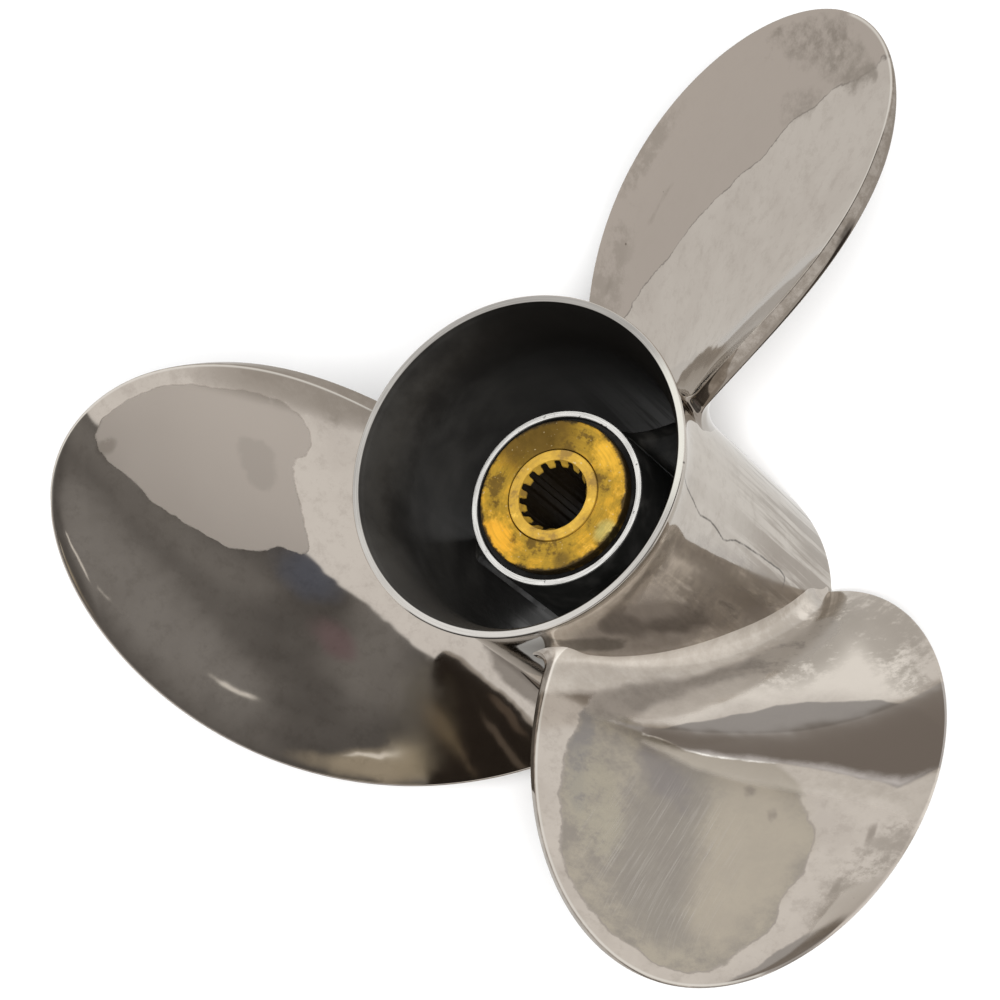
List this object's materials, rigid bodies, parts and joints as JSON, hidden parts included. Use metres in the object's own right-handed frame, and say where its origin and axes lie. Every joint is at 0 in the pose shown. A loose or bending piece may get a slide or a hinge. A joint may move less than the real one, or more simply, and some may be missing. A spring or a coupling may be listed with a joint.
{
  "type": "outboard propeller",
  "caption": "Left-hand outboard boat propeller: a polished steel casting of raked blades on a flared exhaust barrel, with a splined brass sleeve in a rubber bushing.",
  "frame": {"origin": "centroid of the part, on the shaft axis, 75 mm above the forward end of the barrel it stands on", "axes": "+Z along the shaft axis from the forward end towards the exhaust end; +Y through the tip of one blade"},
  "size_m": [0.3215, 0.3002, 0.1464],
  "materials": {
    "casting_steel": "cast stainless steel, polished bright, with water stains, fine scratches and soot inside the barrel",
    "bushing_rubber": "black rubber, dull",
    "plate_brass": "brass, mottled with tarnish",
    "sleeve_brass": "machined brass, tarnished"
  },
  "bodies": {
    "root": {"barrel": "casting_steel", "inner_hub": "casting_steel", "rib_1": "casting_steel", "rib_2": "casting_steel", "rib_3": "casting_steel", "blade_1": "casting_steel", "blade_2": "casting_steel", "blade_3": "casting_steel", "rubber_bushing": "bushing_rubber", "end_plate": "plate_brass", "splined_sleeve": "sleeve_brass"}
  },
  "joints": []
}
